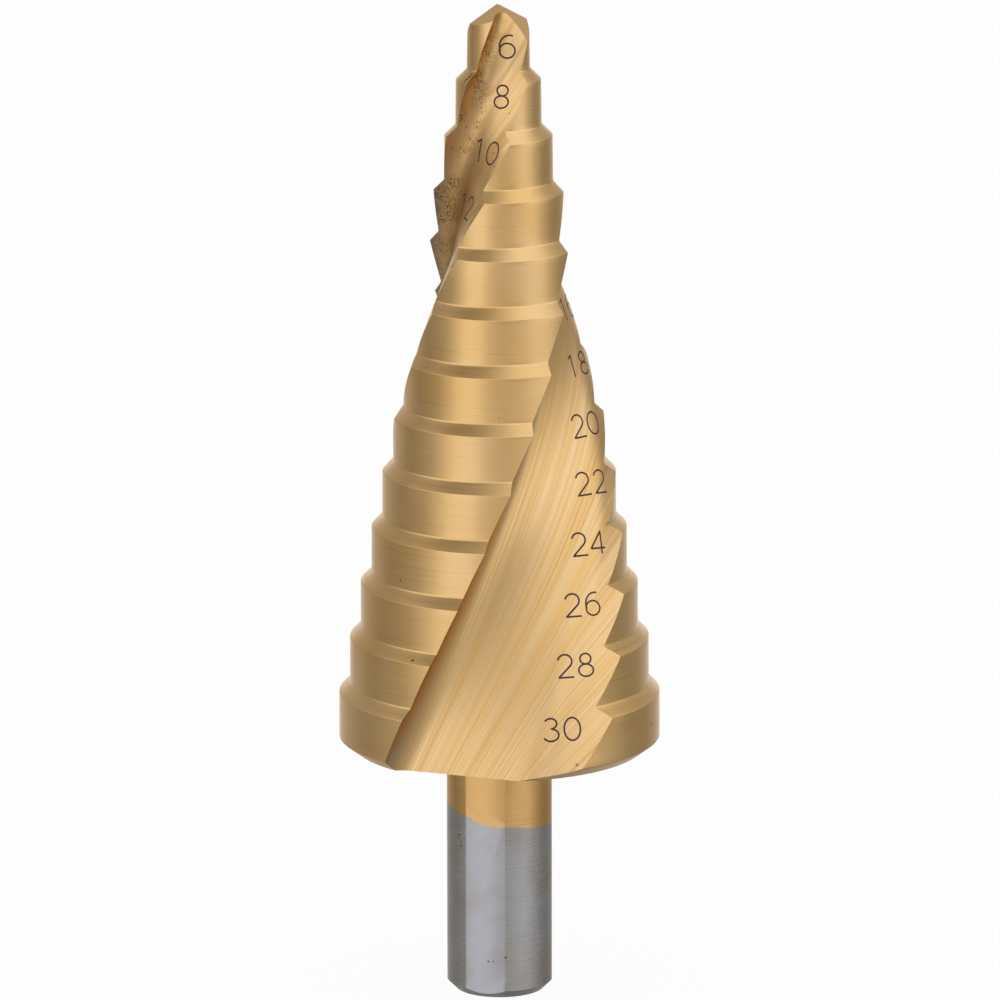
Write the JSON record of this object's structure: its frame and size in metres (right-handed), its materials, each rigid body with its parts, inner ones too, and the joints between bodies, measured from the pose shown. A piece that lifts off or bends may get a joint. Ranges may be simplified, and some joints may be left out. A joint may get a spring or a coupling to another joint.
{
  "type": "step drill",
  "caption": "Stepped cone drill with two helical flutes, relieved shoulders, a split point and a straight shank with flats.",
  "frame": {"origin": "centre of the flat end face of the shank, on the axis, where the drill stands", "axes": "+Z along the drill's axis from the shank to the point; -Y is the front, where a flute shows with its figures"},
  "size_m": [0.0298, 0.027, 0.0931],
  "materials": {
    "coated_steel": "ground high speed steel with a satin gold nitride coating; the lower shank is bare grey steel",
    "bare_steel": "bare ground steel of the lower shank",
    "laser_mark": "dark laser marked figures on the flute"
  },
  "bodies": {
    "root": {"step_drill": "coated_steel"}
  },
  "joints": []
}
